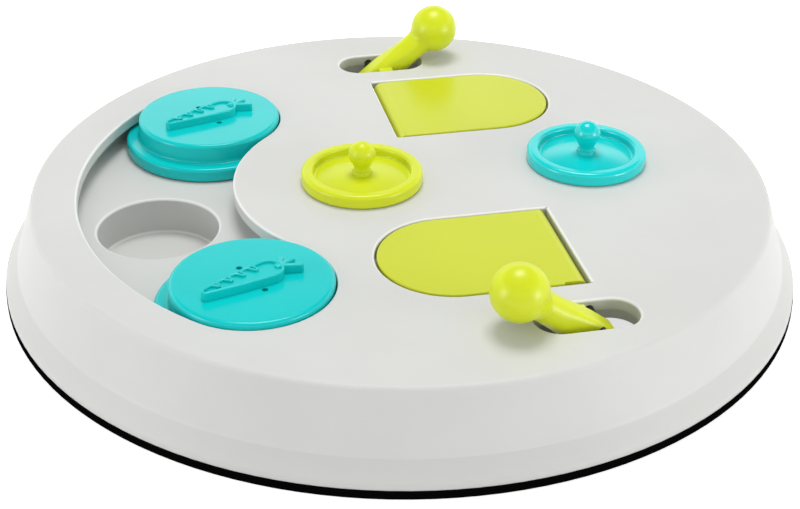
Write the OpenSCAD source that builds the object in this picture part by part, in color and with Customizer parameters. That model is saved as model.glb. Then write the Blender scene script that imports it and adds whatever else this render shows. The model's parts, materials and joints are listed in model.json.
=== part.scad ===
// Round treat puzzle board for rabbits. A hollow board on a rubber ring carries two covers that
// slide in a curved channel, two flaps opened by levers, and two lids that lift off their wells.
// The origin is the middle of the base on the table, +Z is up, and the channel is on the -X side.

/* [Board] */
// Diameter of the top plate at its outer corner
plate_d = 211.6; // [206:0.2:220]
// Height of the plate's top above the table
board_h = 26.2; // [24:0.1:30]
// Thickness of the top plate
plate_t = 3.4; // [2.8:0.1:4]
// Thickness of the sloping skirt
skirt_t = 2.4; // [1.8:0.1:3]
// Radial spread of the skirt's long upper slope
slope_w = 5.2; // [4:0.1:8]
// Radial spread of the flared band at the skirt's foot
flare_w = 3.8; // [3:0.1:5]
// Height of the crease between the slope and the foot band
crease_h = 9.4; // [8:0.1:11]
// Height of the top of the upright lip under the foot band
lip_h = 4.6; // [4.2:0.1:5.4]
// Rounding of the plate's outer corner
corner_r = 1.6; // [1:0.1:2.6]
// Rounding of the crease
crease_r = 6; // [3:0.5:8]
// Rounding of the lip
lip_r = 1.2; // [0.6:0.1:1.5]
// Rolled edge round every opening in the plate
edge_r = 0.8; // [0.4:0.1:1.2]

/* [Non-slip ring] */
// Height of the rubber ring under the lip
ring_h = 2.8; // [2.2:0.1:3.4]
// Width of the ring and of the foot flange it sits under
ring_w = 7.6; // [6.6:0.1:9]
// How far the ring stands out past the lip
ring_proud = 0.2; // [0:0.05:0.4]
// Width of the tongue that holds the ring in the flange
tongue_w = 2; // [1.4:0.1:2.6]
// Height of the tongue
tongue_h = 1.2; // [0.8:0.1:1.4]
// Gap between the tongue and its groove
tongue_gap = 0.1; // [0.05:0.01:0.2]
// Rounding of the ring's outer foot
ring_r = 0.7; // [0.3:0.1:1.2]
// Rounding of the ring's inner foot
ring_inner_r = 0.5; // [0.3:0.1:1.2]

/* [Sliding covers] */
// Diameter of a cover's upper disc
cover_d = 43.4; // [40:0.2:46]
// Diameter of the flange that runs under the plate
flange_d = 51.6; // [48:0.2:53]
// Thickness of the flange
flange_t = 4; // [3:0.1:4.2]
// How far the disc stands above the plate
cover_rise = 1.3; // [0.8:0.1:4]
// Thickness of the disc's face and of the rim round its hollow
cover_wall = 2.4; // [1.8:0.1:3]
// Rounding of the disc's upper edge
cover_r = 1.1; // [0.5:0.1:1.4]
// Rounding of the flange's upper edge
flange_r = 1; // [0.5:0.1:1.4]
// Rounding of the flange's lower edge
flange_foot_r = 0.5; // [0.3:0.1:1]
// Gap between the disc and the edges of the channel
cover_gap = 0.4; // [0.3:0.05:0.8]
// Gap between the flange and what it runs in
flange_gap = 0.5; // [0.3:0.05:0.8]
// Gap between the flange and the channel floor
floor_gap = 0.3; // [0.2:0.05:0.5]
// Plate left between the channel and the plate's outer corner
rim_w = 12.9; // [12:0.1:16]
// Angle from the middle of the channel to a cover at its end
park_angle = 44.8; // [43:0.1:47]
// Diameter of a scent hole
scent_d = 1.7; // [1.2:0.1:2.4]
// Distance of a scent hole from the middle of its disc
scent_at = 6.5; // [5.8:0.1:7.5]
// Angle from the X axis to the farther scent hole
scent_turn = 113; // [100:1:125]

/* [Carrot grip] */
// Length of the grip's root from tip to shoulder
root_l = 24; // [18:0.5:26]
// Width of the root at its shoulder, before the corners are rounded
root_w = 9; // [7:0.1:10]
// Width of the root at its tip, before the corners are rounded
root_tip_w = 2.8; // [2.2:0.1:3.4]
// Share of the shoulder's width that each of its corners is rounded by
shoulder_round = 0.4; // [0.2:0.02:0.4]
// Share of the tip's width, and of a leaf's, that each of its corners is rounded by
tip_round = 0.4; // [0.2:0.02:0.44]
// Height of the grip above the disc
grip_h = 2.5; // [1.8:0.1:4]
// Depth of the sunk face of the root
grip_sink = 0.5; // [0.3:0.1:0.8]
// Width of the raised line round the sunk face
grip_line = 0.8; // [0.5:0.1:1]
// Length of a leaf past the shoulder
leaf_l = 6.2; // [4:0.1:7]
// Width of a leaf
leaf_w = 1.6; // [1.2:0.1:2.4]
// Number of leaves
leaves = 3; // [1:1:4]
// Angle of the first leaf from the root's middle line
leaf_turn = -42; // [-50:1:10]
// Angle between two leaves
leaf_spread = 42; // [20:1:50]
// Number of growth notches in the root's side
notches = 4; // [1:1:4]
// Width of a growth notch
notch_w = 0.9; // [0.6:0.1:1.2]
// Depth of a growth notch
notch_d = 1.3; // [0.6:0.1:1.6]
// Distance between two growth notches
notch_pitch = 4; // [2.5:0.05:4.5]
// Distance of the notch nearest the tip from the tip
notch_start = 4.2; // [3:0.05:6]
// Lean of a growth notch
notch_lean = 30; // [0:1:45]
// Turn of the grip from the X axis
grip_turn = 25; // [0:1:40]
// Distance of the root's middle from the middle of its disc, along the root
grip_back = 3.7; // [2:0.1:5]
// Distance of the grip's middle line from the middle of its disc
grip_off = 1.4; // [0:0.1:2.4]

/* [Slide tray] */
// Clear height between the channel floor and the plate
channel_h = 5.6; // [4.8:0.1:6.4]
// Thickness of the tray's floor
tray_t = 2; // [1.6:0.1:2.6]
// Thickness of the tray's side wall
tray_wall = 2.2; // [1.6:0.1:2.6]
// Inside diameter of a treat cup
cup_d = 34.4; // [30:0.2:38]
// Thickness of the walls and floors of all cups and wells
well_wall = 1.8; // [1.4:0.1:2.2]
// Rounding of a cup's mouth
cup_r = 0.9; // [0.4:0.1:1.2]
// Rounding between a cup's wall and its floor
cup_floor_r = 0.8; // [0.4:0.1:3]
// Room between the bottom of the cups and the top of the rubber ring
belly_gap = 1.6; // [1:0.1:3]

/* [Flaps] */
// Width of a flap's opening
flap_w = 41; // [38:0.2:43]
// Length of a flap's opening from the hinge edge to the round end
flap_l = 53.2; // [50:0.1:55]
// Thickness of a flap
flap_t = 3; // [2.4:0.1:3.1]
// Gap between a flap and its opening
flap_gap = 0.6; // [0.4:0.05:0.9]
// Gap between a shut flap and the ledge of its well
seat_gap = 0.6; // [0.3:0.05:1]
// Gap between the knuckle and the hinge edge of the opening
hinge_gap = 0.7; // [0.6:0.05:1.2]
// Middle of the flap group, about which the front group is the rear one turned half round
flap_mid_x = 20.5; // [19:0.1:23]
// Distance of a flap's middle from the middle of the group
flap_shift = 10.8; // [9:0.1:12]
// Width of the ledge inside the opening that a flap rests over
ledge_w = 1.5; // [1:0.1:2.2]
// Depth of the hinge axis under the plate's top
hinge_drop = 2.9; // [2.6:0.1:3.2]
// Diameter of a flap's knuckle
knuckle_d = 5.4; // [5:0.1:5.8]
// Length of the relief in a flap's side beside the hinge
relief_l = 7; // [4:0.5:9]
// Depth of that relief
relief_w = 0.6; // [0.4:0.1:1.4]

/* [Levers] */
// Diameter of a lever's ball
ball_d = 15.2; // [12:0.1:17]
// Diameter of a lever's stalk
stalk_d = 8.4; // [7:0.1:9.4]
// Distance from the hinge axis to the middle of the ball along the slot
ball_reach = 21.4; // [20:0.1:24]
// Height of the middle of the ball above the hinge axis
ball_rise = 13; // [12:0.1:16]
// How far the middle of the ball lies outside the middle line of its slot
ball_out = 1.8; // [0:0.1:2.4]
// Angle of a lever above the plate with its flap shut
lever_angle = 38.3; // [34:0.1:42]
// Radius of the blend between stalk and ball
blend_r = 4; // [2:0.5:7]
// How far the stalk runs down past the hinge pin
stalk_tail = 5; // [4:0.1:6]
// Rounding of the stalk's lower end
stalk_end_r = 1; // [0.4:0.1:2]
// Diameter of the hub round the hinge pin
hub_d = 4.6; // [4.2:0.1:5]
// Length of the hub along the hinge pin
hub_l = 7; // [6:0.1:9]
// Distance from the hinge axis to the stop lug on the flap's side of the stalk
lug_at = 1.5; // [1.3:0.1:2]
// Length of the stop lug
lug_l = 4.6; // [4:0.1:6]
// Height of the stop lug
lug_h = 5.4; // [4:0.1:6]
// Gap between the stop lug and the wall of the slot
lug_gap = 0.7; // [0.4:0.1:1.2]
// How far the lug's flat top lies below the plate's top
lug_sink = 0.7; // [0.4:0.1:1.2]
// Length of a lever slot
slot_l = 27.8; // [26:0.1:34]
// Width of a lever slot
slot_w = 13.4; // [12:0.1:16]
// Distance from the hinge edge of the flap to the middle of its lever slot
slot_shift = 6.3; // [5:0.1:7.5]
// Plate left between a slot and the plate's outer corner
slot_rim_w = 17.1; // [14:0.1:20]
// Plate left between a slot and its flap
bridge_w = 8.4; // [7.4:0.1:11]
// Step out from a slot's wall to the inside of the collar under it
slot_step = 0.6; // [0.4:0.1:1]
// Thickness of the collar under a slot
collar_t = 1.6; // [1.2:0.1:2]
// Height of the collar below the plate
collar_h = 3; // [2:0.1:4]

/* [Hinge pins] */
// Diameter of a hinge pin
pin_d = 2.5; // [2:0.1:3]
// Running clearance round a pin in its saddles
pin_run = 0.08; // [0.02:0.01:0.1]
// Snug clearance round a pin in its flap and lever
pin_snug = 0.02; // [0.01:0.01:0.04]
// Gap between a saddle block and the collar of the lever slot
saddle_gap = 0.6; // [0.4:0.1:1]
// Width of a saddle block
saddle_w = 8; // [6:0.1:10]
// Room past each end of a hinge pin
pin_end_gap = 0.4; // [0.2:0.1:0.8]

/* [Lids] */
// Outer diameter of a lid
lid_d = 35.2; // [31:0.2:38]
// Height of a lid's rim above the plate
rim_h = 4; // [3.4:0.1:6]
// Thickness of a lid's rim
rim_t = 3.5; // [3:0.1:4.6]
// Rounding of the rim's outer edge
rim_r = 1.3; // [0.6:0.1:1.6]
// Rounding of the rim's inner edge
rim_inner_r = 0.9; // [0.5:0.1:1.2]
// Depth of a lid's dish at its edge, below the top of its rim
dish_h = 2.8; // [2.4:0.1:3]
// How far the crowned dish rises from its edge to the knob
dish_rise = 1.5; // [0.8:0.1:2]
// Rounding between a lid's dish and its rim
dish_r = 0.7; // [0.4:0.1:1]
// Rounding of a lid's lower edge
lid_edge_r = 0.8; // [0.3:0.1:1]
// Length of the spigot that keeps a lid in its well
spigot_h = 4; // [3:0.1:6]
// Thickness of the spigot
spigot_t = 1.6; // [1.2:0.1:2]
// Gap between the spigot and its well
spigot_gap = 0.5; // [0.3:0.05:0.8]
// Shelf of a lid that rests on the plate round the well
lid_shelf = 2.6; // [2:0.1:3.4]
// Diameter of the ball on a lid's knob
knob_d = 7.3; // [6:0.1:9]
// Diameter of the knob's neck
neck_d = 5.2; // [4:0.1:5.8]
// Height of the knob above the middle of the dish
knob_h = 9.8; // [8:0.1:13]
// Radius of the blend at the foot of the neck
neck_r = 0.9; // [0.5:0.1:1.4]
// Place of the lime lid along the X axis
lime_lid_x = -11.5; // [-13:0.1:-8]
// Place of the teal lid along the X axis
teal_lid_x = 56.3; // [52:0.1:60]

/* [Screws] */
// Diameter of the screw bosses and lugs
boss_d = 6.5; // [5.6:0.1:7.5]
// Gap between a boss and the wall beside it
boss_gap = 0.4; // [0.3:0.1:0.8]
// Diameter of a screw's shank
screw_d = 2.6; // [2.2:0.1:3]
// Diameter of a screw's head
head_d = 5.2; // [4.4:0.1:5.6]
// Height of a screw's head
head_h = 1.8; // [1.4:0.1:2.2]
// Rounding of a screw's head
head_r = 0.9; // [0.5:0.1:1.2]
// Clearance round a screw's shank
screw_gap = 0.1; // [0.05:0.01:0.2]
// Bite of a screw in its boss
screw_bite = 4; // [3:0.1:4.2]
// Spare depth of a boss's bore past the tip of its screw
bore_spare = 0.4; // [0.2:0.1:0.8]
// Angle from a flap's middle line to the screw beside its round end
flap_screw_angle = 60; // [50:1:70]
// Angle from the X axis to each of the two inner screws of the slide tray
inner_screw_angle = 24; // [20:1:30]

/* [Hidden] */
$fn = 96;

// Colours of the moulded pieces
grey = [0.85, 0.85, 0.84];
teal = [0.0, 0.78, 0.78];
lime = [0.8, 0.86, 0.15];
rubber = [0.06, 0.06, 0.06];
steel = [0.72, 0.73, 0.75];

// How far a cut runs past the face that it opens
over = 1;
// Angle by which the channel's curved stretch runs short into its round ends
end_lap = 1;
// Facets in each rounded corner of an outline
corner_steps = 6;
// Sides of a rolled edge, which stops just short of level with the plate
roll_steps = 5;
roll_end = 84;

// Radii of the board from the plate's corner outwards
plate_r = plate_d / 2;
crease_rad = plate_r + slope_w;
lip_rad = crease_rad + flare_w;
ring_rad = lip_rad + ring_proud;
foot_rad = lip_rad - ring_w;

// Heights of the plate's underside, the channel floor and the bottom of cups and wells
under_z = board_h - plate_t;
floor_z = under_z - channel_h;
well_floor_z = ring_h + belly_gap + well_wall;

// The path that the covers follow, and half widths of what lies along it
channel_hw = cover_d / 2 + cover_gap;
path_r = plate_r - rim_w - channel_hw;
bend_angle = park_angle - end_lap;
track_hw = flange_d / 2 + flange_gap;
tray_hw = track_hw + tray_wall;

// Places of the lever slot, flap and hinge of the rear group
slot_y = plate_r - slot_rim_w - slot_w / 2;
flap_y = slot_y - slot_w / 2 - bridge_w - flap_w / 2;
hinge_edge_x = flap_mid_x + flap_shift - flap_l / 2;
hinge_dx = hinge_gap + knuckle_d / 2;
hinge_x = hinge_edge_x + hinge_dx;
hinge_z = board_h - hinge_drop;
slot_x = hinge_edge_x + slot_shift;
trough_l = hinge_dx + knuckle_d / 2 + hinge_gap;
pin_r = pin_d / 2;
saddle_l = bridge_w - well_wall - slot_step - collar_t - saddle_gap;

// The stalk passes the hinge axis on its lower side, and leans out to carry the ball
ball_far = norm([ball_reach, ball_rise]);
lever_turn = lever_angle - atan2(ball_rise, ball_reach);
stalk_up = ball_far * cos(lever_turn);
lever_lean = asin(ball_out / stalk_up);

// Wells under the lids
lid_well_d = lid_d - 2 * lid_shelf;

// A lug hangs beside a wall so that its boss clears the wall
lug_reach = boss_gap + boss_d / 2;

function unit(v) = v / norm(v);

// Points of an arc of radius r that rounds the corner b between a and c
function corner_arc(a, b, c, r) =
  let (
    u = unit(a - b),
    v = unit(c - b),
    half = acos(u * v) / 2,
    middle = b + unit(u + v) * r / sin(half),
    start = b + u * r / tan(half) - middle,
    turn = sign(cross(v, u)) * (180 - 2 * half),
    first = atan2(start.y, start.x)
  )
  [for (i = [0 : corner_steps]) middle + r * [cos(first + turn * i / corner_steps),
                                              sin(first + turn * i / corner_steps)]];

// A closed outline from corners [x, y, r], each rounded by its own radius
function rounded(corners) =
  let (n = len(corners), flat = [for (c = corners) [c.x, c.y]])
  [for (i = [0 : n - 1])
    each corners[i].z == 0
      ? [flat[i]]
      : corner_arc(flat[(i + n - 1) % n], flat[i], flat[(i + 1) % n], corners[i].z)];

// Half section of a cut whose walls rise to an edge rolled over by radius r at top_z
function rolled_walls(half_w, top_z, r) = concat(
  [for (i = [0 : roll_steps])
    let (a = roll_end * i / roll_steps)
    [half_w + r * (1 - cos(a)), top_z + r * (sin(a) - sin(roll_end))]],
  [[half_w + r * (1 - cos(roll_end)), top_z + over], [0, top_z + over]]
);

// Half section of a cut through the plate
function rolled_half(half_w) = concat(
  [[0, under_z - over], [half_w, under_z - over]],
  rolled_walls(half_w, board_h, edge_r)
);

// The rear group stays where it is, and the front group is the same group turned half round
module at_group(side) {
  front = side == "front";
  translate([front ? 2 * flap_mid_x : 0, 0, 0])
    rotate([0, 0, front ? 180 : 0])
      children();
}

// Moves a flap's shapes from the middle of its hinge edge to the rear group
module at_flap() {
  translate([hinge_edge_x, flap_y, 0]) children();
}

// Moves shapes to a place along the covers' path, at an angle from the middle of the channel
module at_path(angle) {
  translate([-path_r * cos(angle), path_r * sin(angle), 0]) children();
}

// Extrudes a section drawn in Y and Z along X
module run_x(length) {
  rotate([90, 0, 90]) linear_extrude(length) children();
}

// Extrudes a section drawn in X and Z along Y, both ways from the middle
module run_y(length) {
  rotate([90, 0, 0]) linear_extrude(length, center = true) children();
}

// Outline that is square at X = 0 and round at its far end
module dee(length, width) {
  translate([0, -width / 2]) square([length - width / 2, width]);
  translate([length - width / 2, 0]) circle(d = width);
}

// Curved outline along the covers' path with round ends
module crescent(half_w) {
  far = 2 * (path_r + half_w);
  intersection() {
    difference() {
      circle(path_r + half_w);
      circle(path_r - half_w);
    }
    polygon([[0, 0], far * [-cos(bend_angle), sin(bend_angle)], [-far, 0],
             far * [-cos(bend_angle), -sin(bend_angle)]]);
  }
  for (side = [-1, 1]) at_path(side * park_angle) circle(half_w);
}

// Outline of a lever slot about its middle, larger all round by grow
module slot_outline(grow) {
  width = slot_w + 2 * grow;
  square([slot_l - slot_w, width], center = true);
  for (side = [-1, 1]) translate([side * (slot_l - slot_w) / 2, 0]) circle(d = width);
}

// Through cut for the covers' discs
module channel_cut() {
  half = rolled_half(channel_hw);
  rotate([0, 0, 180 - bend_angle])
    rotate_extrude(angle = 2 * bend_angle)
      translate([path_r, 0]) {
        polygon(half);
        mirror([1, 0]) polygon(half);
      }
  for (side = [-1, 1]) at_path(side * park_angle) rotate_extrude() polygon(half);
}

// Through cut for a flap, from the middle of its hinge edge
module flap_cut() {
  half = rolled_half(flap_w / 2);
  straight = flap_l - flap_w / 2;
  run_x(straight) {
    polygon(half);
    mirror([1, 0]) polygon(half);
  }
  translate([straight, 0, 0]) rotate([0, 0, -90]) rotate_extrude(angle = 180) polygon(half);
  translate([over, 0, 0]) mirror([1, 0, 0]) run_y(flap_w) polygon(rolled_half(over));
}

// Through cut for a lever, about the middle of its slot
module slot_cut() {
  half = rolled_half(slot_w / 2);
  straight = slot_l - slot_w;
  translate([-straight / 2, 0, 0]) run_x(straight) {
    polygon(half);
    mirror([1, 0]) polygon(half);
  }
  for (side = [-1, 1])
    translate([side * straight / 2, 0, 0])
      rotate([0, 0, -90 * side])
        rotate_extrude(angle = 180)
          polygon(half);
}

// Places of the screws, each the middle of a lug and of its boss
module tray_screw_places() {
  reach = tray_hw + lug_reach;
  for (side = [-1, 1]) {
    at_path(side * park_angle)
      rotate([0, 0, side * (90 - park_angle)])
        translate([reach, 0, 0]) children();
    rotate([0, 0, 180 + side * inner_screw_angle])
      translate([path_r - reach, 0, 0]) rotate([0, 0, 180]) children();
  }
}

module flap_screw_places() {
  bend = [flap_l - flap_w / 2, 0, 0];
  translate([-well_wall - lug_reach, 0, 0]) rotate([0, 0, 180]) children();
  translate(bend)
    rotate([0, 0, flap_screw_angle])
      translate([flap_w / 2 + well_wall + lug_reach, 0, 0]) children();
}

module lid_screw_places() {
  for (turn = [0, 180])
    rotate([0, 0, turn]) translate([lid_well_d / 2 + well_wall + lug_reach, 0, 0]) children();
}

// Every screw of the board
module all_screw_places() {
  tray_screw_places() children();
  for (side = ["rear", "front"]) at_group(side) at_flap() flap_screw_places() children();
  for (x = [lime_lid_x, teal_lid_x]) translate([x, 0, 0]) lid_screw_places() children();
}

// A lug whose arm runs back along -X to the wall that carries it
module lug() {
  arm = lug_reach + well_wall / 2;
  translate([0, 0, floor_z - tray_t]) {
    cylinder(d = boss_d, h = tray_t);
    translate([-arm, -boss_d / 2, 0]) cube([arm, boss_d, tray_t]);
  }
}

// Clearance hole through a lug
module lug_hole() {
  translate([0, 0, floor_z - tray_t - over])
    cylinder(d = screw_d + 2 * screw_gap, h = tray_t + 2 * over);
}

// Round bearing for a hinge pin, from the middle of the flap's hinge edge
module pin_bearing(from_y, to_y) {
  translate([hinge_dx, from_y, hinge_z])
    rotate([-90, 0, 0])
      cylinder(r = pin_r + pin_run, h = to_y - from_y);
}

// The same bearing open below, so that the pin goes in from underneath
module pin_groove(from_y, to_y, low_z) {
  pin_bearing(from_y, to_y);
  translate([hinge_dx - pin_r - pin_run, from_y, low_z])
    cube([2 * (pin_r + pin_run), to_y - from_y, hinge_z - low_z]);
}

// Reach of the hinge pin along Y from the middle of its flap
pin_from = -flap_w / 2 - well_wall - saddle_l + pin_end_gap;
pin_to = slot_y + slot_w / 2 + slot_step + collar_t - pin_end_gap - flap_y;

// Revolved section of the shell: skirt, foot flange and plate
module shell_section() {
  polygon(rounded([
    [0, board_h, 0],
    [plate_r, board_h, corner_r],
    [crease_rad, crease_h, crease_r],
    [lip_rad, lip_h, lip_r],
    [lip_rad, ring_h, 0],
    [foot_rad, ring_h, 0],
    [foot_rad, ring_h + skirt_t, 0],
    [crease_rad - skirt_t, ring_h + skirt_t, 0],
    [crease_rad - skirt_t, crease_h, 0],
    [plate_r - skirt_t, under_z, 0],
    [0, under_z, 0]
  ]));
}

module tongue_section(gap) {
  translate([(foot_rad + lip_rad - tongue_w) / 2 - gap, ring_h - over])
    square([tongue_w + 2 * gap, over + tongue_h + gap]);
}

module top_shell() {
  collar_low = under_z - collar_h - over;
  color(grey) difference() {
    union() {
      rotate_extrude() shell_section();
      for (side = ["rear", "front"])
        at_group(side)
          translate([slot_x, slot_y, under_z - collar_h])
            linear_extrude(collar_h + plate_t / 2) slot_outline(slot_step + collar_t);
      all_screw_places()
        translate([0, 0, floor_z]) cylinder(d = boss_d, h = channel_h + plate_t / 2);
    }
    rotate_extrude() tongue_section(tongue_gap);
    channel_cut();
    for (side = ["rear", "front"]) at_group(side) {
      at_flap() flap_cut();
      translate([slot_x, slot_y, 0]) {
        slot_cut();
        translate([0, 0, collar_low]) linear_extrude(under_z - collar_low) slot_outline(slot_step);
      }
      at_flap() pin_groove(pin_from - pin_end_gap, pin_to + pin_end_gap, collar_low);
    }
    for (x = [lime_lid_x, teal_lid_x])
      translate([x, 0, under_z - over]) cylinder(d = lid_well_d, h = plate_t + 2 * over);
    all_screw_places()
      translate([0, 0, floor_z - over])
        cylinder(d = screw_d + 2 * screw_gap, h = over + screw_bite + bore_spare);
  }
}

module non_slip_ring() {
  color(rubber) rotate_extrude() {
    polygon(rounded([
      [foot_rad, 0, ring_inner_r],
      [ring_rad, 0, ring_r],
      [ring_rad, ring_h, 0],
      [foot_rad, ring_h, 0]
    ]));
    tongue_section(0);
  }
}

// The three treat cups stand at the ends and the middle of the channel
module cup_places() {
  for (turn = [-1, 0, 1]) at_path(turn * park_angle) children();
}

module slide_tray() {
  cup_floor = [0, well_floor_z];
  cup_corner = [cup_d / 2, well_floor_z];
  cup_mouth = [cup_d / 2, floor_z];
  color(grey) difference() {
    union() {
      translate([0, 0, floor_z - tray_t]) linear_extrude(tray_t + channel_h) crescent(tray_hw);
      cup_places()
        translate([0, 0, well_floor_z - well_wall])
          cylinder(d = cup_d + 2 * well_wall, h = floor_z - well_floor_z + well_wall - tray_t / 2);
      tray_screw_places() lug();
    }
    translate([0, 0, floor_z]) linear_extrude(channel_h + over) crescent(track_hw);
    cup_places() rotate_extrude() polygon(concat(
      [cup_floor],
      corner_arc(cup_floor, cup_corner, cup_mouth, cup_floor_r),
      rolled_walls(cup_d / 2, floor_z, cup_r)
    ));
    tray_screw_places() lug_hole();
  }
}

// A treat well under a flap, with the lower halves of the hinge saddles
module flap_well(side) {
  saddle_reach = flap_w + 2 * (well_wall + saddle_l);
  saddle_low = floor_z - tray_t;
  color(grey) at_group(side) at_flap() difference() {
    union() {
      translate([-well_wall, 0, well_floor_z - well_wall])
        linear_extrude(under_z - well_floor_z + well_wall)
          dee(flap_l + 2 * well_wall, flap_w + 2 * well_wall);
      translate([hinge_dx - saddle_w / 2, -saddle_reach / 2, saddle_low])
        cube([saddle_w, saddle_reach, under_z - saddle_low]);
      flap_screw_places() lug();
    }
    translate([0, 0, well_floor_z])
      linear_extrude(under_z - well_floor_z + over)
        dee(flap_l - ledge_w, flap_w - 2 * ledge_w);
    translate([0, 0, board_h - flap_t - seat_gap]) linear_extrude(plate_t) dee(flap_l, flap_w);
    translate([0, -flap_w / 2, hinge_z - knuckle_d / 2 - hinge_gap])
      cube([trough_l, flap_w, knuckle_d]);
    pin_bearing(-saddle_reach / 2 - over, saddle_reach / 2 + over);
    flap_screw_places() lug_hole();
  }
}

module flap_well_rear() { flap_well("rear"); }
module flap_well_front() { flap_well("front"); }

// A round treat well under a lid
module lid_well(x) {
  color(grey) translate([x, 0, 0]) difference() {
    union() {
      translate([0, 0, well_floor_z - well_wall])
        cylinder(d = lid_well_d + 2 * well_wall, h = under_z - well_floor_z + well_wall);
      lid_screw_places() lug();
    }
    translate([0, 0, well_floor_z]) cylinder(d = lid_well_d, h = under_z - well_floor_z + over);
    lid_screw_places() lug_hole();
  }
}

module lid_well_lime() { lid_well(lime_lid_x); }
module lid_well_teal() { lid_well(teal_lid_x); }

// A pan-head screw driven up through a lug into its boss
module screw() {
  color(steel) translate([0, 0, floor_z - tray_t]) {
    cylinder(d = screw_d, h = tray_t + screw_bite);
    translate([0, 0, -head_h]) rotate_extrude() polygon(rounded([
      [0, 0, 0],
      [head_d / 2, 0, head_r],
      [head_d / 2, head_h, 0],
      [0, head_h, 0]
    ]));
  }
}

module slide_tray_screws() { tray_screw_places() screw(); }

module flap_well_screws() {
  for (side = ["rear", "front"]) at_group(side) at_flap() flap_screw_places() screw();
}

module lid_well_screws() {
  for (x = [lime_lid_x, teal_lid_x]) translate([x, 0, 0]) lid_screw_places() screw();
}

// Outline of a root along X about its middle, with its tip towards -X
module root_outline(length, shoulder_w, tip_w) {
  polygon(rounded([
    [-length / 2, -tip_w / 2, tip_round * tip_w],
    [length / 2, -shoulder_w / 2, shoulder_round * shoulder_w],
    [length / 2, shoulder_w / 2, shoulder_round * shoulder_w],
    [-length / 2, tip_w / 2, tip_round * tip_w]
  ]));
}

// A leaf that fans out of the grip's shoulder
module leaf(angle) {
  translate([root_l / 2 - leaf_w / 2, 0])
    rotate(angle)
      polygon(rounded([
        [0, -leaf_w / 2, 0],
        [leaf_l, -leaf_w / 2, tip_round * leaf_w],
        [leaf_l, leaf_w / 2, tip_round * leaf_w],
        [0, leaf_w / 2, 0]
      ]));
}

// A raised carrot to push the cover along by
module carrot_grip() {
  widening = (root_w - root_tip_w) / (2 * root_l);
  difference() {
    translate([0, 0, -cover_wall / 2]) linear_extrude(cover_wall / 2 + grip_h) {
      root_outline(root_l, root_w, root_tip_w);
      for (i = [0 : leaves - 1]) leaf(leaf_turn + i * leaf_spread);
    }
    translate([0, 0, grip_h - grip_sink])
      linear_extrude(grip_sink + over)
        root_outline(root_l - 2 * grip_line, root_w - 2 * grip_line, root_tip_w - 2 * grip_line);
    for (i = [0 : notches - 1]) {
      along = notch_start + i * notch_pitch;
      side_y = root_tip_w / 2 + along * widening;
      translate([along - root_l / 2, side_y, over / 2])
        rotate([0, 0, -notch_lean])
          translate([-notch_w / 2, -notch_d, 0]) cube([notch_w, 2 * notch_d, grip_h]);
    }
  }
}

// A sliding cover, hollow from below, with its grip and scent holes
module slider(angle) {
  low_z = floor_z + floor_gap;
  flange_top = low_z + flange_t;
  top_z = board_h + cover_rise;
  hollow_r = cover_d / 2 - cover_wall;
  color(teal) at_path(angle) {
    difference() {
      rotate_extrude() polygon(rounded([
        [0, low_z, 0],
        [flange_d / 2, low_z, flange_foot_r],
        [flange_d / 2, flange_top, flange_r],
        [cover_d / 2, flange_top, 0],
        [cover_d / 2, top_z, cover_r],
        [0, top_z, 0]
      ]));
      translate([0, 0, low_z - over]) cylinder(r = hollow_r, h = top_z - cover_wall - low_z + over);
      for (turn = [0, 180])
        rotate([0, 0, scent_turn + turn])
          translate([scent_at, 0, top_z - cover_wall - over])
            cylinder(d = scent_d, h = cover_wall + 2 * over);
    }
    translate([0, 0, top_z])
      rotate([0, 0, grip_turn])
        translate([-grip_back, -grip_off, 0])
          carrot_grip();
  }
}

module slider_rear() { slider(park_angle); }
module slider_front() { slider(-park_angle); }

// A flap with the knuckle that its pin is pressed through
module flap(side) {
  knuckle_l = flap_w - 2 * flap_gap;
  color(lime) at_group(side) at_flap() difference() {
    union() {
      translate([hinge_dx, 0, board_h - flap_t])
        linear_extrude(flap_t)
          dee(flap_l - flap_gap - hinge_dx, knuckle_l);
      translate([hinge_dx, 0, hinge_z])
        rotate([90, 0, 0])
          cylinder(d = knuckle_d, h = knuckle_l, center = true);
    }
    translate([hinge_dx, 0, hinge_z])
      rotate([90, 0, 0])
        cylinder(r = pin_r + pin_snug, h = knuckle_l + 2 * over, center = true);
    translate([-over, knuckle_l / 2 - relief_w, hinge_z - knuckle_d])
      cube([relief_l + over, relief_w + over, 2 * knuckle_d + over]);
  }
}

module flap_rear() { flap("rear"); }
module flap_front() { flap("front"); }

// The steel pin that turns with a flap and its lever
module hinge_pin(side) {
  color(steel) at_group(side) at_flap()
    translate([hinge_dx, pin_from, hinge_z])
      rotate([-90, 0, 0])
        cylinder(r = pin_r, h = pin_to - pin_from);
}

module hinge_pin_rear() { hinge_pin("rear"); }
module hinge_pin_front() { hinge_pin("front"); }

// Half section of the ball, about its middle, and of the stalk below it
module lever_section() {
  ball_r = ball_d / 2;
  stalk_r = stalk_d / 2;
  stalk_low = -stalk_up - stalk_tail;
  neck = [stalk_r + blend_r, -sqrt(pow(ball_r + blend_r, 2) - pow(stalk_r + blend_r, 2))];
  intersection() {
    union() {
      circle(ball_r);
      polygon(rounded([[0, stalk_low, 0], [stalk_r, stalk_low, stalk_end_r], [stalk_r, 0, 0], [0, 0, 0]]));
      difference() {
        polygon([[0, neck.y], neck, [0, 0]]);
        translate(neck) circle(blend_r);
      }
    }
    translate([0, 2 * stalk_low]) square([ball_d, ball_d - 2 * stalk_low]);
  }
}

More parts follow.
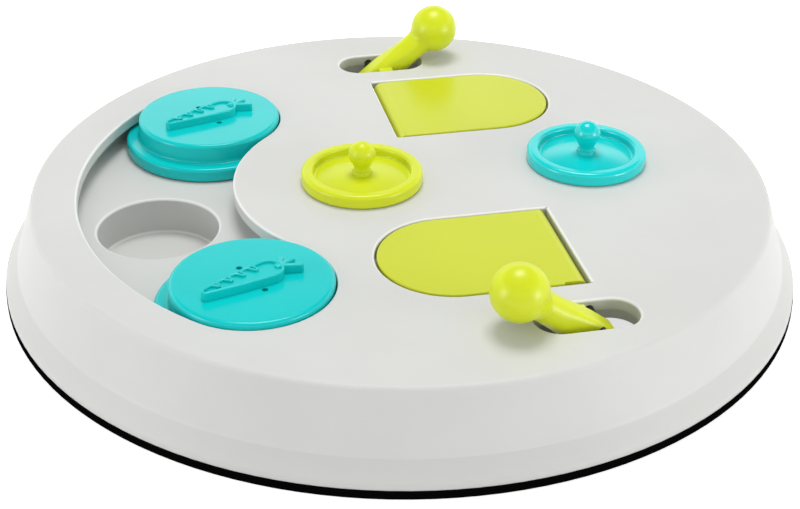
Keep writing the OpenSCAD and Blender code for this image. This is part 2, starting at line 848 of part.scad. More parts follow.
// A ball-ended lever on the hinge pin, with a stop lug on the flap's side
module lever(side) {
  lug_top = hinge_drop - lug_sink;
  lug_w = slot_w / 2 - lug_gap;
  color(lime) at_group(side)
    translate([hinge_x, slot_y, hinge_z])
      difference() {
        union() {
          translate([ball_reach, ball_out, ball_rise])
            rotate([-lever_lean, 90 - lever_angle, 0])
              rotate_extrude() lever_section();
          rotate([90, 0, 0]) cylinder(d = hub_d, h = hub_l, center = true);
          translate([lug_at, -lug_w, lug_top - lug_h]) cube([lug_l, lug_w, lug_h]);
        }
        rotate([90, 0, 0]) cylinder(r = pin_r + pin_snug, h = slot_w, center = true);
      }
}

module lever_rear() { lever("rear"); }
module lever_front() { lever("front"); }

// Half section of a lid: rim, dish, knob and the spigot that drops into the well
module lid_section() {
  outer_r = lid_d / 2;
  dish_z = rim_h - dish_h;
  crown_z = dish_z + dish_rise;
  spigot_r = lid_well_d / 2 - spigot_gap;
  ball_r = knob_d / 2;
  ball_z = crown_z + knob_h - ball_r;
  polygon(rounded([
    [0, 0, 0],
    [outer_r, 0, lid_edge_r],
    [outer_r, rim_h, rim_r],
    [outer_r - rim_t, rim_h, rim_inner_r],
    [outer_r - rim_t, dish_z, dish_r],
    [neck_d / 2, crown_z, neck_r],
    [neck_d / 2, ball_z, 0],
    [0, ball_z, 0]
  ]));
  translate([spigot_r - spigot_t, -spigot_h]) square([spigot_t, spigot_h + dish_z / 2]);
  intersection() {
    translate([0, ball_z]) circle(ball_r);
    translate([0, crown_z]) square([knob_d, knob_h]);
  }
}

module lime_lid() {
  color(lime) translate([lime_lid_x, 0, board_h]) rotate_extrude() lid_section();
}

module teal_lid() {
  color(teal) translate([teal_lid_x, 0, board_h]) rotate_extrude() lid_section();
}

top_shell();
non_slip_ring();
slide_tray();
flap_well_rear();
flap_well_front();
lid_well_lime();
lid_well_teal();
slide_tray_screws();
flap_well_screws();
lid_well_screws();
slider_rear();
slider_front();
flap_rear();
flap_front();
hinge_pin_rear();
hinge_pin_front();
lever_rear();
lever_front();
lime_lid();
teal_lid();
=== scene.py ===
import json
import math

import bmesh
import bpy
from mathutils import Matrix, Vector


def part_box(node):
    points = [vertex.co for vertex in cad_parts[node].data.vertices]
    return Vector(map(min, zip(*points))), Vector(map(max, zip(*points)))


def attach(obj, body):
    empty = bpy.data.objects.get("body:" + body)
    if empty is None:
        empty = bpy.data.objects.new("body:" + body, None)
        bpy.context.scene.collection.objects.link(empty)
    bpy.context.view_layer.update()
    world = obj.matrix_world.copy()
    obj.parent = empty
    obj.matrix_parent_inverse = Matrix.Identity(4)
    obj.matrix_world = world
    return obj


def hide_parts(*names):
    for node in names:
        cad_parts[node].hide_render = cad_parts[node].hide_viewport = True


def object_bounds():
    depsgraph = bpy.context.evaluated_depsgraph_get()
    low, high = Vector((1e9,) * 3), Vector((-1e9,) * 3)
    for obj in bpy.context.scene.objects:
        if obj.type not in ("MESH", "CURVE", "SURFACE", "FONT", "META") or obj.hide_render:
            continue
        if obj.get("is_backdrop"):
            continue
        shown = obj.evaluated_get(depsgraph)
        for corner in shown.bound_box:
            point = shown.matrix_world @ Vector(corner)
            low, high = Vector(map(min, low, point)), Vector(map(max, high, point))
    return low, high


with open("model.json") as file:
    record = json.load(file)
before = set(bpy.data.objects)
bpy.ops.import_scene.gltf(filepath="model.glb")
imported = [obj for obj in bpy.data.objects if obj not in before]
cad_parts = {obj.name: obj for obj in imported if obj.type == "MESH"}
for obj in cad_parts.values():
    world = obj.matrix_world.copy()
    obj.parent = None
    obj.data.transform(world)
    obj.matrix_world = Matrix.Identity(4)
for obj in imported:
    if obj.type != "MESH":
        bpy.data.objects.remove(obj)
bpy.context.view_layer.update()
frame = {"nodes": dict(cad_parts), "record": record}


# Top shell
# The board itself, one light grey moulding in a fine satin finish. It is injection moulded open
# from below, and everything else hangs in it or is screwed to bosses under its plate.

def plastic(name, colour, roughness, grain_per_m, grain_depth):
    """Moulded plastic: a colour that drifts a little, a fine grain, and a polish with faint scuffs."""
    drift = 0.025
    flow_per_m = 28
    scuff_turn = (0.3, 0.2, 0.7)
    scuffs_per_m = (900, 40, 300)
    scuff_dullness = 0.03
    grain_strength = 0.4
    made = bpy.data.materials.new(name)
    made.use_nodes = True
    nodes, links = made.node_tree.nodes, made.node_tree.links
    shader = nodes["Principled BSDF"]
    place = nodes.new("ShaderNodeTexCoord")

    flow = nodes.new("ShaderNodeTexNoise")
    flow.inputs["Scale"].default_value = flow_per_m
    flow.inputs["Detail"].default_value = 3
    links.new(place.outputs["Object"], flow.inputs["Vector"])
    tint = nodes.new("ShaderNodeValToRGB")
    tint.color_ramp.elements[0].position = 0.3
    tint.color_ramp.elements[0].color = [c * (1 - drift) for c in colour] + [1]
    tint.color_ramp.elements[1].position = 0.7
    tint.color_ramp.elements[1].color = [min(1, c * (1 + drift)) for c in colour] + [1]
    links.new(flow.outputs["Fac"], tint.inputs["Fac"])
    links.new(tint.outputs["Color"], shader.inputs["Base Color"])

    stretch = nodes.new("ShaderNodeMapping")
    stretch.inputs["Rotation"].default_value = scuff_turn
    stretch.inputs["Scale"].default_value = scuffs_per_m
    links.new(place.outputs["Object"], stretch.inputs["Vector"])
    scuffs = nodes.new("ShaderNodeTexNoise")
    scuffs.inputs["Scale"].default_value = 1
    links.new(stretch.outputs["Vector"], scuffs.inputs["Vector"])
    polish = nodes.new("ShaderNodeMapRange")
    polish.inputs["From Min"].default_value = 0.6
    polish.inputs["From Max"].default_value = 0.8
    polish.inputs["To Min"].default_value = roughness
    polish.inputs["To Max"].default_value = roughness + scuff_dullness
    links.new(scuffs.outputs["Fac"], polish.inputs["Value"])
    links.new(polish.outputs["Result"], shader.inputs["Roughness"])

    grain = nodes.new("ShaderNodeTexNoise")
    grain.inputs["Scale"].default_value = grain_per_m
    grain.inputs["Detail"].default_value = 2
    links.new(place.outputs["Object"], grain.inputs["Vector"])
    bump = nodes.new("ShaderNodeBump")
    bump.inputs["Distance"].default_value = grain_depth
    bump.inputs["Strength"].default_value = grain_strength
    links.new(grain.outputs["Fac"], bump.inputs["Height"])
    links.new(bump.outputs["Normal"], shader.inputs["Normal"])
    return made


def set_shader(finish, socket, value):
    """Sets a constant of a finish's shader."""
    finish.node_tree.nodes["Principled BSDF"].inputs[socket].default_value = value


def mix_in(finish, share, colour):
    """Mixes a colour into a finish's own colour, by a share from 0 to 1."""
    base = finish.node_tree.nodes["Principled BSDF"].inputs["Base Color"]
    blend = finish.node_tree.nodes.new("ShaderNodeMixRGB")
    blend.inputs["Color2"].default_value = [*colour, 1]
    finish.node_tree.links.new(share, blend.inputs["Fac"])
    finish.node_tree.links.new(base.links[0].from_socket, blend.inputs["Color1"])
    finish.node_tree.links.new(blend.outputs["Color"], base)


def paint_edge_highlight(finish, colour, reach):
    """Paints a highlight on the rolled edges within reach of the board's axis, where the surface leans: a
    lighter colour for the light that they catch.
    """
    flat_from, highlight_from, highlight_to, flat_to = 0.25, 0.5, 0.93, 0.99
    fade = 0.002
    nodes, links = finish.node_tree.nodes, finish.node_tree.links
    place = nodes.new("ShaderNodeTexCoord")
    lean = nodes.new("ShaderNodeSeparateXYZ")
    links.new(place.outputs["Normal"], lean.inputs["Vector"])
    edge = nodes.new("ShaderNodeValToRGB")
    edge.color_ramp.elements[0].position = flat_from
    edge.color_ramp.elements[0].color = (0, 0, 0, 1)
    edge.color_ramp.elements[1].position = flat_to
    edge.color_ramp.elements[1].color = (0, 0, 0, 1)
    for position in (highlight_from, highlight_to):
        edge.color_ramp.elements.new(position).color = (1, 1, 1, 1)
    links.new(lean.outputs["Z"], edge.inputs["Fac"])
    flat = nodes.new("ShaderNodeVectorMath")
    flat.operation = "MULTIPLY"
    flat.inputs[1].default_value = (1, 1, 0)
    links.new(place.outputs["Object"], flat.inputs[0])
    out = nodes.new("ShaderNodeVectorMath")
    out.operation = "LENGTH"
    links.new(flat.outputs["Vector"], out.inputs[0])
    inside = nodes.new("ShaderNodeMapRange")
    inside.inputs["From Min"].default_value = reach
    inside.inputs["From Max"].default_value = reach + fade
    inside.inputs["To Min"].default_value = 1
    inside.inputs["To Max"].default_value = 0
    links.new(out.outputs["Value"], inside.inputs["Value"])
    share = nodes.new("ShaderNodeMath")
    share.operation = "MULTIPLY"
    links.new(edge.outputs["Color"], share.inputs[0])
    links.new(inside.outputs["Result"], share.inputs[1])
    mix_in(finish, share.outputs["Value"], colour)


def paint_foot_shade(finish, colour, top):
    """Darkens a finish below a height with painted shade: the band of the foot, a tone darker than the
    skirt in the photo.
    """
    nodes, links = finish.node_tree.nodes, finish.node_tree.links
    place = nodes.new("ShaderNodeTexCoord")
    height = nodes.new("ShaderNodeSeparateXYZ")
    links.new(place.outputs["Object"], height.inputs["Vector"])
    below = nodes.new("ShaderNodeMath")
    below.operation = "LESS_THAN"
    below.inputs[1].default_value = top
    links.new(height.outputs["Z"], below.inputs[0])
    mix_in(finish, below.outputs["Value"], colour)


def dress(node, finish):
    """Gives a CAD node its finish."""
    piece = frame["nodes"][node]
    piece.data.materials.clear()
    piece.data.materials.append(finish)


grey = (0.61, 0.615, 0.595)
# Painted highlight: the lighter colour of the rolled edges.
edge_highlight_grey = (0.8, 0.805, 0.79)
# Painted shade: the darker colour of the foot band, and below, the height it reaches up to.
foot_shade_grey = (0.57, 0.575, 0.555)
# How far from the axis the painted edge highlight reaches.
edge_highlight_reach = 0.098
foot_shade_top = 0.0094


def satin_grey(name):
    """The board's grey plastic, with a painted highlight on the rolled edges of its openings."""
    made = plastic(name, grey, 0.48, 2600, 0.00002)
    set_shader(made, "Specular IOR Level", 0.35)
    paint_edge_highlight(made, edge_highlight_grey, edge_highlight_reach)
    return made


board_grey = satin_grey("board_grey")
# Painted shade on the foot band.
paint_foot_shade(board_grey, foot_shade_grey, foot_shade_top)
dress("top_shell", board_grey)


# Slide tray
# The floor of the curved channel with its three treat cups, moulded of the same grey plastic.
# It is screwed up under the plate, so that its cups stand below the channel.

# The tray gets the same painted highlight on its rolled edges and cup lips.
tray_grey = satin_grey("tray_grey")
dress("slide_tray", tray_grey)


# Flap wells and lid wells
# Treat wells under the flaps and the lids, grey mouldings screwed to bosses under the plate.
# The flap wells also carry the lower halves of the hinge saddles.

for node in ["flap_well_rear", "flap_well_front", "lid_well_lime", "lid_well_teal"]:
    dress(node, tray_grey)


# Screws
# Pan-head screws of zinc-plated steel, driven up through the lugs of the tray and the wells.

steel = plastic("steel", (0.62, 0.63, 0.65), 0.3, 900, 0.00001)
set_shader(steel, "Metallic", 1)
for node in ["slide_tray_screws", "flap_well_screws", "lid_well_screws"]:
    dress(node, steel)


# Non-slip ring
# A black rubber ring pressed into a groove under the board's foot, matt and slightly dusty.

rubber = plastic("rubber", (0.002, 0.002, 0.002), 0.8, 1500, 0.00003)
set_shader(rubber, "Specular IOR Level", 0)
dress("non_slip_ring", rubber)


# Sliding covers
# Turquoise covers, each one moulding: a disc, the flange that runs under the plate, and a raised
# carrot to push it along by. They are hollow below, with two scent holes through the disc.

MM = 0.001
sharp_from = math.radians(35)
teal = plastic("teal", (0.001, 0.55, 0.545), 0.2, 700, 0.000006)
set_shader(teal, "Specular IOR Level", 0.3)


def fillet(corners, steps=8, closed=False):
    """Points along corners (x, y, radius), each rounded by its radius."""
    points = []
    last = len(corners) - 1
    for i, (x, y, radius) in enumerate(corners):
        here = Vector((x, y))
        if radius == 0 or (not closed and i in (0, last)):
            points.append(here)
            continue
        back = (Vector(corners[i - 1][:2]) - here).normalized()
        ahead = (Vector(corners[(i + 1) % len(corners)][:2]) - here).normalized()
        half = back.angle(ahead) / 2
        middle = here + (back + ahead).normalized() * radius / math.sin(half)
        arm = here + back * radius / math.tan(half) - middle
        turn = math.copysign(math.pi - 2 * half, ahead.cross(back))
        points += [middle + Matrix.Rotation(turn * k / steps, 2) @ arm for k in range(steps + 1)]
    return points


def closed_mesh(built):
    """Ends a bmesh: faces outwards, and into a mesh."""
    bmesh.ops.recalc_face_normals(built, faces=built.faces)
    mesh = bpy.data.meshes.new("mesh")
    built.to_mesh(mesh)
    built.free()
    return mesh


def lathe(profile, sides=144):
    """Turns a profile of (radius, height) that starts and ends on the axis."""
    built = bmesh.new()
    turns = [2 * math.pi * i / sides for i in range(sides)]
    rings = []
    for radius, height in profile:
        spots = turns if radius > 1e-6 else [0]
        ring = [(radius * math.cos(t), radius * math.sin(t), height) for t in spots]
        rings.append([built.verts.new(point) for point in ring])
    for low, high in zip(rings, rings[1:]):
        for i in range(sides):
            j = (i + 1) % sides
            corners = [low[i % len(low)], low[j % len(low)], high[j % len(high)], high[i % len(high)]]
            built.faces.new(list(dict.fromkeys(corners)))
    return closed_mesh(built)


def loft(loops):
    """Joins a stack of loops, each with the same number of points, and closes both ends."""
    built = bmesh.new()
    rings = [[built.verts.new(point) for point in loop] for loop in loops]
    for low, high in zip(rings, rings[1:]):
        for i in range(len(low)):
            j = (i + 1) % len(low)
            built.faces.new([low[i], low[j], high[j], high[i]])
    built.faces.new(rings[0])
    built.faces.new(rings[-1])
    return closed_mesh(built)


def combine(base, *steps):
    """Joins shapes to a base shape, or cuts them out of it."""
    work = bpy.data.objects.new("work", base)
    bpy.context.scene.collection.objects.link(work)
    tools = []
    for operation, mesh in steps:
        tool = bpy.data.objects.new("tool", mesh)
        bpy.context.scene.collection.objects.link(tool)
        change = work.modifiers.new("change", "BOOLEAN")
        change.operation = operation
        change.solver = "EXACT"
        change.object = tool
        tools.append(tool)
    seen = work.evaluated_get(bpy.context.evaluated_depsgraph_get())
    result = bpy.data.meshes.new_from_object(seen)
    for spent in [work, *tools]:
        bpy.data.objects.remove(spent)
    return result


def piece(name, mesh, place, node, body, slot, finish):
    """Puts a mesh drawn in millimetres in its place, instead of its CAD node."""
    mesh.transform(place @ Matrix.Scale(MM, 4))
    mesh.materials.clear()
    mesh.materials.append(finish)
    mesh.shade_smooth()
    mesh.set_sharp_from_angle(angle=sharp_from)
    made = bpy.data.objects.new(name, mesh)
    bpy.context.scene.collection.objects.link(made)
    shading = made.modifiers.new("even_shading", "WEIGHTED_NORMAL")
    shading.keep_sharp = True
    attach(made, body)
    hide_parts(node)


cover_r = 21.7
flange_r = 25.8
flange_t = 4
cover_h = 10
cover_wall = 2.4
hollow_r = cover_r - cover_wall

root_l = 24
root_w = 9
root_tip_w = 2.2
root_swell = 0.35
tip_round = 0.8
shoulder_round = 0.85
grip_h = 2.5
grip_root = -1.2
grip_line = 0.8
grip_sink = 0.7
grip_turn = math.radians(25)
grip_at = Vector((-3.7, -1.4, cover_h))
notch_places = [-7.8, -3.8, 0.2, 4.2]
notch_half = 0.5
notch_lean = 1.2
notch_share = 0.45
notch_extra = 0.6
notch_r = 0.1
scale_step = 0.35
leaf_w = 1.5
leaf_overlap = 1
leaf_round = 0.5
leaf_drop = 0.1
leaf_step = 0.06
leaf_foot_step = 0.1
leaves = [(-30, 6.6), (8, 5.6), (48, 5.0)]
scent_r = 0.85
scent_at = 6.5
scent_turn = math.radians(113)


def root_side(x):
    """Half the root's width at a place along it: a taper with a slight swell."""
    taper = (root_tip_w + (root_w - root_tip_w) * (x / root_l + 0.5)) / 2
    return taper + root_swell * math.cos(math.pi * x / root_l)


def root_outline():
    """The root's outline: a plain near side, and a far side of scales with leaning notches between."""
    end = root_l / 2
    tip, shoulder = root_side(-end), root_side(end)
    corners = [(-end, -tip, tip_round * tip)]
    corners += [(x, -root_side(x), 0) for x in range(-9, 8, 2)]
    corners += [(end, -shoulder, shoulder_round * shoulder), (end, shoulder, shoulder_round * shoulder)]
    corners += [(7, root_side(7) + 0.3 * scale_step, 0)]
    for x in reversed(notch_places):
        side = root_side(x)
        corners += [(x + notch_half, side, 0), (x + notch_lean, notch_share * side - notch_extra, notch_r),
                    (x - notch_half, side + scale_step, 0)]
    corners += [(-end, tip, tip_round * tip)]
    return fillet(corners, closed=True)


def drawn_in(outline, inset, height):
    """A loop at a height, with each side of an outline moved in by inset."""
    loop = []
    for before, here, after in zip(outline[-1:] + outline[:-1], outline, outline[1:] + outline[:1]):
        across = [Vector((-way.y, way.x)).normalized() for way in (here - before, after - here)]
        middle = (across[0] + across[1]).normalized()
        point = here + middle * inset / max(0.5, middle.dot(across[0]))
        loop.append((point.x, point.y, height))
    return loop


def leaf_outline(angle, length):
    """A leaf's outline: a bar with a round end, out of the root's shoulder."""
    half = leaf_w / 2
    bar = fillet([
        (-leaf_overlap, -half, 0), (length, -half, 0.98 * half),
        (length, half, 0.98 * half), (-leaf_overlap, half, 0),
    ], closed=True)
    spin = Matrix.Rotation(math.radians(angle), 2)
    return [Vector((root_l / 2 - leaf_overlap, 0)) + spin @ point for point in bar]


def round_top(height, radius, steps=5):
    """Insets and heights of an edge rounded by radius at the top of a wall."""
    turns = [math.pi / 2 * i / steps for i in range(steps + 1)]
    return [(radius * (1 - math.cos(t)), height - radius * (1 - math.sin(t))) for t in turns]


def carrot():
    """The carrot's root and leaves as closed shapes that reach down into the disc."""
    bead = grip_line / 2
    wall = [(0, grip_root)] + round_top(grip_h, bead)
    sunk = [(grip_line - inset, z) for inset, z in wall[-2:1:-1]] + [(grip_line, grip_h - grip_sink)]
    shapes = [loft([drawn_in(root_outline(), inset, z) for inset, z in wall + sunk])]
    for i, (angle, length) in enumerate(leaves):
        leaf_h = grip_h - leaf_drop - leaf_step * i
        rib = [(0, grip_root - leaf_foot_step * (i + 1))] + round_top(leaf_h, leaf_round)
        shapes.append(loft([drawn_in(leaf_outline(angle, length), inset, z) for inset, z in rib]))
    turned = Matrix.Rotation(grip_turn, 4, "Z") @ Matrix.Translation(grip_at)
    for shape in shapes:
        shape.transform(turned)
    return shapes


def scent_hole(turn):
    """A pin that cuts a scent hole through the disc."""
    reach = 3
    pin = lathe([(0, -reach), (scent_r, -reach), (scent_r, reach), (0, reach)], sides=32)
    spot = Vector((scent_at * math.cos(turn), scent_at * math.sin(turn), cover_h))
    pin.transform(Matrix.Translation(spot))
    return pin


for side in ["rear", "front"]:
    disc = lathe(fillet([
        (0, cover_h - cover_wall, 0),
        (hollow_r, cover_h - cover_wall, 1.2),
        (hollow_r, 0, 0.4),
        (flange_r, 0, 0.5),
        (flange_r, flange_t, 1.2),
        (cover_r, flange_t, 1.0),
        (cover_r, cover_h, 1.1),
        (0, cover_h, 0),
    ]))
    holes = [("DIFFERENCE", scent_hole(scent_turn + half_turn)) for half_turn in (0, math.pi)]
    grip = [("UNION", shape) for shape in carrot()]
    low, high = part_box(f"slider_{side}")
    spot = Matrix.Translation(((low[0] + high[0]) / 2, (low[1] + high[1]) / 2, low[2]))
    whole = combine(disc, *holes, *grip)
    piece(f"cover_{side}", whole, spot, f"slider_{side}", f"{side}_cover", "teal", teal)


# Flaps
# Lime D-shaped slabs, flush with the plate. The hinge end is rolled round the pin so that it turns
# clear of the plate, and the corner beside the lever is cut back.

lime = plastic("lime", (0.545, 0.605, 0.014), 0.32, 700, 0.000006)
set_shader(lime, "Specular IOR Level", 0.4)
hinge_drop = 2.9
flap_reach = 49.2
flap_half = 19.9
flap_t = 3
flap_edge = 0.5
knuckle_r = 2.7
relief_l = 3.6
relief_w = 0.6
knuckle_gap = 0.1
knuckle_edge = 0.3


def flap_loop(depth):
    """The flap's outline at a depth below its face: the edges are rounded, the hinge end most."""
    short = flap_edge - depth
    inset = flap_edge - math.sqrt(flap_edge ** 2 - short ** 2) if short > 0 else 0
    up = max(0, hinge_drop - depth)
    nose = -math.sqrt(hinge_drop ** 2 - up ** 2)
    half = flap_half - inset
    bend = flap_reach - flap_half
    turns = [math.pi * (i / 64 - 0.5) for i in range(65)]
    points = [(nose + (bend - nose) * i / 12, -half) for i in range(12)]
    points += [(bend + half * math.cos(t), half * math.sin(t)) for t in turns]
    points += [(bend + (nose - bend) * (i + 1) / 12, half) for i in range(12)]
    points += [(nose, half - 2 * half * (i + 1) / 12) for i in range(11)]
    return [(x, y, hinge_drop - depth) for x, y in points]


hinges = {joint["name"]: joint for joint in frame["record"]["behaviour"]["joints"]}
groups = {}
for side, turn in [("rear", 0), ("front", math.pi)]:
    hinge = Vector(hinges[f"{side}_flap_hinge"]["pos_m"])
    groups[side] = Matrix.Translation(hinge) @ Matrix.Rotation(turn, 4, "Z")
    slab = loft([flap_loop(hinge_drop * (1 - math.cos(math.pi / 2 * i / 12))) for i in range(13)]
                + [flap_loop(flap_t)])
    knuckle_half = flap_half - knuckle_gap
    knuckle = lathe(fillet([
        (0, -knuckle_half, 0), (knuckle_r, -knuckle_half, knuckle_edge),
        (knuckle_r, knuckle_half, knuckle_edge), (0, knuckle_half, 0),
    ]), sides=64)
    knuckle.transform(Matrix.Rotation(math.pi / 2, 4, "X"))
    relief = loft([[(-5, flap_half - relief_w, z), (relief_l, flap_half - relief_w, z),
                    (relief_l, flap_half + 2, z), (-5, flap_half + 2, z)] for z in (-4, 4)])
    whole = combine(slab, ("UNION", knuckle), ("DIFFERENCE", relief))
    piece(f"lid_flap_{side}", whole, groups[side], f"flap_{side}", f"{side}_flap", "lime", lime)


# Hinge pins
# Blackened steel pins, 2.5 mm thick, pressed through each flap and its lever.

black_steel = plastic("black_steel", (0.03, 0.03, 0.028), 0.4, 900, 0.00001)
set_shader(black_steel, "Metallic", 1)
for node in ["hinge_pin_rear", "hinge_pin_front"]:
    dress(node, black_steel)


# Levers
# Lime ball-ended levers, moulded solid. Each stalk squares off towards its lower end, where the
# hinge pin is pressed through its upper side, and a flat lug beside it meets the slot's wall.

# Painted light: a lighter copy of the flaps' lime for the levers and lids, to make up for the light they
# catch less of than the flat flaps.
painted_lit_lime = plastic("painted_lit_lime", (0.62, 0.7, 0.01), 0.32, 700, 0.000006)
set_shader(painted_lit_lime, "Specular IOR Level", 0.4)
ball_r = 7.6
ball_at = Vector((21.4, 1.8, 13))
stalk_r = 4.2
stalk_low = -29.85
blend_r = 4
lever_angle = math.radians(38.3)
lever_lean = math.radians(4.15)
lever_y = 35.6
square_from = -11
square_to = -24
square_up = 0.12
square_power = 2.5
stalk_end_r = 1
lug_reach = 6
lug_round = 0.7
lug_edge = 0.4


def arc(middle_x, middle_y, radius, first, last, steps=12):
    """Points along an arc between two angles in degrees."""
    turns = [math.radians(first + (last - first) * i / steps) for i in range(steps + 1)]
    return [(middle_x + radius * math.cos(t), middle_y + radius * math.sin(t)) for t in turns]


def stalk_loop(radius, height, sides=96):
    """A ring of the lever: round at the ball, squared and a little higher at the pin's end."""
    share = min(1, max(0, (height - square_from) / (square_to - square_from)))
    share = share * share * (3 - 2 * share)
    power = 2 / (2 + square_power * share)
    loop = []
    for i in range(sides):
        turn = 2 * math.pi * i / sides
        over = radius * math.copysign(abs(math.cos(turn)) ** power, math.cos(turn))
        across = radius * math.copysign(abs(math.sin(turn)) ** power, math.sin(turn))
        loop.append((over * (1 + square_up * share) if over < 0 else over, across, height))
    return loop


blend_drop = math.sqrt((ball_r + blend_r) ** 2 - (stalk_r + blend_r) ** 2)
blend_turn = math.degrees(math.atan2(blend_drop, stalk_r + blend_r))
lug_corners = [(1.5, -3.2), (6.1, -3.2), (6.1, 2.5), (1.5, 2.5)]
lug_outline = fillet([(x, z, lug_round) for x, z in lug_corners], closed=True)
for side in ["rear", "front"]:
    straight_from = stalk_low + stalk_end_r
    straight_l = -blend_drop - straight_from
    profile = arc(stalk_r - stalk_end_r, straight_from, stalk_end_r, -90, -8)
    profile += [(stalk_r, straight_from + straight_l * i / 24) for i in range(24)]
    profile += arc(stalk_r + blend_r, -blend_drop, blend_r, 180, 180 - blend_turn)
    profile += arc(0, 0, ball_r, -blend_turn, 89, 40)[1:]
    stalk = loft([stalk_loop(radius, height) for radius, height in profile])
    stalk.transform(Matrix.Translation(ball_at) @ Matrix.Rotation(math.pi / 2 - lever_angle, 4, "Y")
                    @ Matrix.Rotation(-lever_lean, 4, "X"))
    edge = round_top(lug_reach, lug_edge)
    lug = loft([[(x, -y, z) for x, z, y in drawn_in(lug_outline, inset, reach)]
                for inset, reach in [(0, 0)] + edge])
    whole = combine(stalk, ("UNION", lug))
    whole.transform(Matrix.Translation((0, lever_y, 0)))
    piece(f"ball_lever_{side}", whole, groups[side], f"lever_{side}", f"{side}_flap", "lime", painted_lit_lime)


# Lids
# Round lift-off lids, one lime and one turquoise, each one moulding: a fat rim, a shallow dish, a
# knob on a ringed foot, and a spigot below that drops into the well.

lid_r = 17.6
rim_h = 4
rim_t = 3.5
rim_r = 1.3
rim_inner_r = 0.9
dish_z = 1.2
dish_rise = 1.5
dish_r = 0.7
foot_r = 2.75
waist_r = 2.15
spigot_r = 14.5
spigot_t = 1.6
spigot_h = 4
knob_r = 3.85
knob_z = 8.6

# Painted light: a lighter copy of the covers' teal for the lid, to make up for the light it catches less
# of.
painted_lit_teal = plastic("painted_lit_teal", (0.001, 0.61, 0.605), 0.2, 700, 0.000006)

for name, finish in [("lime", painted_lit_lime), ("teal", painted_lit_teal)]:
    rim_inner = lid_r - rim_t
    dish_top = dish_z + dish_rise
    crown = []
    for share in (0.25, 0.5, 0.75):
        rise = dish_rise * (1 - (1 - share) ** 1.3)
        crown.append((rim_inner - (rim_inner - foot_r) * share, dish_z + rise, 0))
    profile = fillet([
        (0, 0, 0), (spigot_r - spigot_t, 0, 0.3), (spigot_r - spigot_t, -spigot_h, 0.3),
        (spigot_r, -spigot_h, 0.3), (spigot_r, 0, 0.3), (lid_r, 0, 0.8), (lid_r, rim_h, rim_r),
        (rim_inner, rim_h, rim_inner_r), (rim_inner, dish_z, dish_r), *crown,
        (foot_r + 0.15, dish_top, 0.25), (foot_r - 0.05, dish_top + 0.8, 0.3),
        (waist_r, dish_top + 1.3, 0.4), (waist_r + 0.1, dish_top + 2, 0.5),
        (knob_r * 0.82, knob_z - knob_r * 0.57, 0),
    ])
    profile += arc(0, knob_z, knob_r, -34, 89, 36)[1:]
    profile += [(0, knob_z + knob_r)]
    low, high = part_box(f"{name}_lid")
    spot = Matrix.Translation(((low[0] + high[0]) / 2, (low[1] + high[1]) / 2, low[2] + spigot_h * MM))
    piece(f"{name}_knob_lid", lathe(profile), spot, f"{name}_lid", f"{name}_lid", name, finish)


# Camera
# The photograph's viewing angle, aimed at the middle of the board's base.

camera_azimuth = math.radians(-12.57)
camera_elevation = math.radians(30.54)
camera_roll = math.radians(0.55)
camera_distance = 475.06 * MM

camera_back = Vector((
    math.sin(camera_azimuth) * math.cos(camera_elevation),
    -math.cos(camera_azimuth) * math.cos(camera_elevation),
    math.sin(camera_elevation),
))
level = Vector((math.cos(camera_azimuth), math.sin(camera_azimuth), 0))
camera_x = level * math.cos(camera_roll) + camera_back.cross(level) * math.sin(camera_roll)
camera_y = camera_back.cross(camera_x)
camera = bpy.data.objects.new("camera", bpy.data.cameras.new("camera"))
bpy.context.scene.collection.objects.link(camera)
camera.matrix_world = Matrix.Translation(camera_back * camera_distance) @ Matrix(
    (camera_x, camera_y, camera_back)
).transposed().to_4x4()
camera.data.sensor_width = 36
camera.data.lens = 71.37
camera.data.clip_start = 0.01
bpy.context.scene.camera = camera


# Studio
# A white sweep lit by soft boxes: one above and a little behind, and one low on each side.

def white_to_the_eye(tree):
    """1 for a ray that the camera sees straight on, in a gloss or through glass, and 0 for others."""
    path = tree.nodes.new("ShaderNodeLightPath")
    seen = tree.nodes.new("ShaderNodeMath")
    seen.operation = "MAXIMUM"
    tree.links.new(path.outputs["Is Camera Ray"], seen.inputs[0])
    tree.links.new(path.outputs["Is Glossy Ray"], seen.inputs[1])
    either = tree.nodes.new("ShaderNodeMath")
    either.operation = "MAXIMUM"
    tree.links.new(seen.outputs["Value"], either.inputs[0])
    tree.links.new(path.outputs["Is Transmission Ray"], either.inputs[1])
    return either.outputs["Value"]


wall_strength = 2
sky_strength = 0.64
floor_white = 0.88
floor_glow = 0.7

world = bpy.data.worlds.new("studio")
bpy.context.scene.world = world
world.use_nodes = True
tree = world.node_tree
sky = tree.nodes["Background"]
sky.inputs["Color"].default_value = (1, 1, 1, 1)
way = tree.nodes.new("ShaderNodeTexCoord")
height = tree.nodes.new("ShaderNodeSeparateXYZ")
tree.links.new(way.outputs["Generated"], height.inputs["Vector"])
walls = tree.nodes.new("ShaderNodeFloatCurve")
curve = walls.mapping.curves[0]
curve.points[0].location = (0, 0.4)
curve.points[1].location = (1, 0.02)
for degrees, brightness in [(12, 0.4), (20, 0.95), (26, 0.95), (34, 0.02)]:
    curve.points.new(math.sin(math.radians(degrees)), brightness)
for point in curve.points:
    point.handle_type = "VECTOR"
walls.mapping.update()
tree.links.new(height.outputs["Z"], walls.inputs["Value"])
lit_walls = tree.nodes.new("ShaderNodeMath")
lit_walls.operation = "MULTIPLY"
lit_walls.inputs[1].default_value = wall_strength
tree.links.new(walls.outputs["Value"], lit_walls.inputs[0])
path = tree.nodes.new("ShaderNodeLightPath")
straight = tree.nodes.new("ShaderNodeMath")
straight.operation = "MAXIMUM"
tree.links.new(path.outputs["Is Camera Ray"], straight.inputs[0])
tree.links.new(path.outputs["Is Transmission Ray"], straight.inputs[1])
gloss = tree.nodes.new("ShaderNodeMix")
gloss.inputs["A"].default_value = sky_strength
tree.links.new(path.outputs["Is Glossy Ray"], gloss.inputs["Factor"])
tree.links.new(lit_walls.outputs["Value"], gloss.inputs["B"])
seen = tree.nodes.new("ShaderNodeMix")
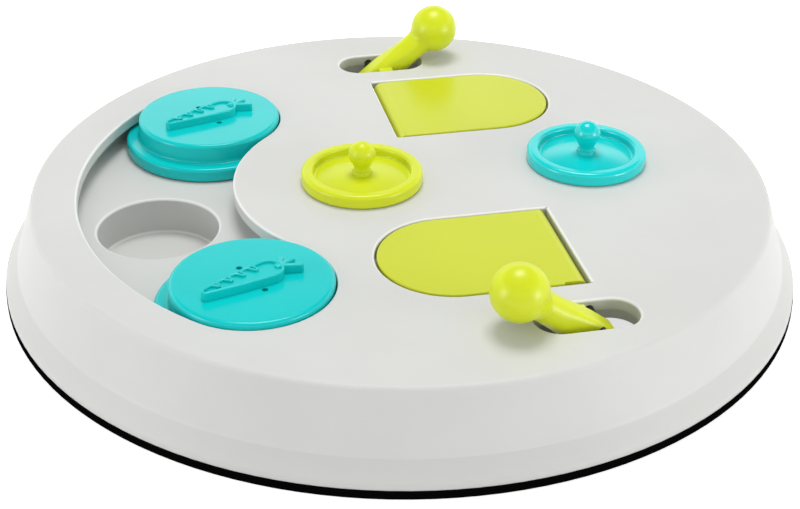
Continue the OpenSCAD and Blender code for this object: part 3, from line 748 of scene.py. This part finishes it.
seen.inputs["B"].default_value = 1
tree.links.new(straight.outputs["Value"], seen.inputs["Factor"])
tree.links.new(gloss.outputs["Result"], seen.inputs["A"])
tree.links.new(seen.outputs["Result"], sky.inputs["Strength"])

floor_mesh = bpy.data.meshes.new("floor")
reach = 3.0
floor_mesh.from_pydata(
    [(-reach, -reach, 0), (reach, -reach, 0), (reach, reach, 0), (-reach, reach, 0)], [], [(0, 1, 2, 3)]
)
floor = bpy.data.objects.new("floor", floor_mesh)
bpy.context.scene.collection.objects.link(floor)
floor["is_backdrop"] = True
paper = bpy.data.materials.new("paper")
paper.use_nodes = True
tree = paper.node_tree
sheet = tree.nodes["Principled BSDF"]
sheet.inputs["Base Color"].default_value = (floor_white, floor_white, floor_white, 1)
sheet.inputs["Roughness"].default_value = 1
sheet.inputs["Specular IOR Level"].default_value = 0
sheet.inputs["Emission Color"].default_value = (1, 1, 1, 1)
glow = tree.nodes.new("ShaderNodeMath")
glow.operation = "MULTIPLY"
glow.inputs[1].default_value = floor_glow
tree.links.new(white_to_the_eye(tree), glow.inputs[0])
tree.links.new(glow.outputs["Value"], sheet.inputs["Emission Strength"])
floor_mesh.materials.append(paper)

toward = Vector((camera_back.x, camera_back.y, 0)).normalized()
soft_boxes = {
    "above": (Vector((0, 0, 0.966)) - toward * 0.21, 0.9, 0.38, 4.2),
    "left": (toward * 0.42 - level * 0.888 + Vector((0, 0, 0.19)), 0.9, 0.35, 2.1),
    "right": (toward * 0.46 + level * 0.884 + Vector((0, 0, 0.094)), 0.9, 0.35, 3.4),
}
for name, (way, distance, size, watts) in soft_boxes.items():
    lamp = bpy.data.lights.new(name, "AREA")
    lamp.shape = "RECTANGLE"
    lamp.size = size
    lamp.size_y = size
    lamp.energy = watts
    box = bpy.data.objects.new(name, lamp)
    bpy.context.scene.collection.objects.link(box)
    box.location = way.normalized() * distance
    box.rotation_euler = way.to_track_quat("Z", "Y").to_euler()

bpy.context.scene.view_settings.view_transform = "Standard"

low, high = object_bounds()
